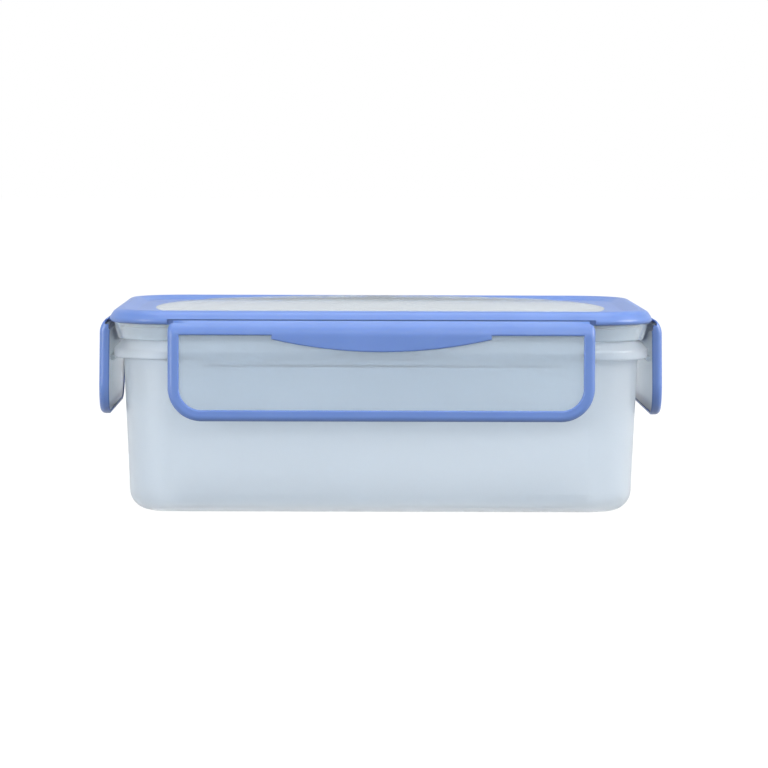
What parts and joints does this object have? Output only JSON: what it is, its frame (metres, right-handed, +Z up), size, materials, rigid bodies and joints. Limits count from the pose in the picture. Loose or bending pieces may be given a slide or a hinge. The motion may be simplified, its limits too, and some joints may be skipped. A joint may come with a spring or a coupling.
{
  "type": "snap lid food container",
  "caption": "Rectangular clear food box with a sealed lid, a soft coloured rim and a hinged snap clip on each side.",
  "frame": {"origin": "centre of the base, on the surface the container stands on", "axes": "+X along the long side, +Y from the front clip to the back clip, +Z up"},
  "size_m": [0.2052, 0.1392, 0.0733],
  "materials": {
    "clear_pp_tub": "clear, slightly milky, glossy polypropylene",
    "clear_pp_lid": "clear, slightly milky, glossy polypropylene",
    "clear_pp_clip": "milky translucent polypropylene",
    "blue_tpe": "satin soft-touch elastomer, slightly translucent blue",
    "gasket_silicone": "translucent white silicone"
  },
  "bodies": {
    "tub": {"tub": "clear_pp_tub"},
    "lid": {"lid_panel": "clear_pp_lid", "lid_frame": "blue_tpe", "gasket": "gasket_silicone", "clip_front_hinge": "blue_tpe", "clip_back_hinge": "blue_tpe", "clip_left_hinge": "blue_tpe", "clip_right_hinge": "blue_tpe"},
    "clip_front": {"clip_front_panel": "clear_pp_clip", "clip_front_border": "blue_tpe"},
    "clip_back": {"clip_back_panel": "clear_pp_clip", "clip_back_border": "blue_tpe"},
    "clip_left": {"clip_left_panel": "clear_pp_clip", "clip_left_border": "blue_tpe"},
    "clip_right": {"clip_right_panel": "clear_pp_clip", "clip_right_border": "blue_tpe"}
  },
  "joints": [
    {"name": "lid_lift", "type": "slide", "parent": "tub", "child": "lid", "axis": [0, 0, 1], "range_m": [0, 0.08]},
    {"name": "clip_front_swing", "type": "hinge", "parent": "lid", "child": "clip_front", "pos_m": [0, -0.0664, 0.0693], "axis": [-1, 0, 0], "range_deg": [0, 135], "deforming": ["clip_front_hinge"]},
    {"name": "clip_back_swing", "type": "hinge", "parent": "lid", "child": "clip_back", "pos_m": [0, 0.0664, 0.0693], "axis": [1, 0, 0], "range_deg": [0, 135], "deforming": ["clip_back_hinge"]},
    {"name": "clip_left_swing", "type": "hinge", "parent": "lid", "child": "clip_left", "pos_m": [-0.0994, 0, 0.0693], "axis": [0, 1, 0], "range_deg": [0, 135], "deforming": ["clip_left_hinge"]},
    {"name": "clip_right_swing", "type": "hinge", "parent": "lid", "child": "clip_right", "pos_m": [0.0994, 0, 0.0693], "axis": [0, -1, 0], "range_deg": [0, 135], "deforming": ["clip_right_hinge"]}
  ]
}
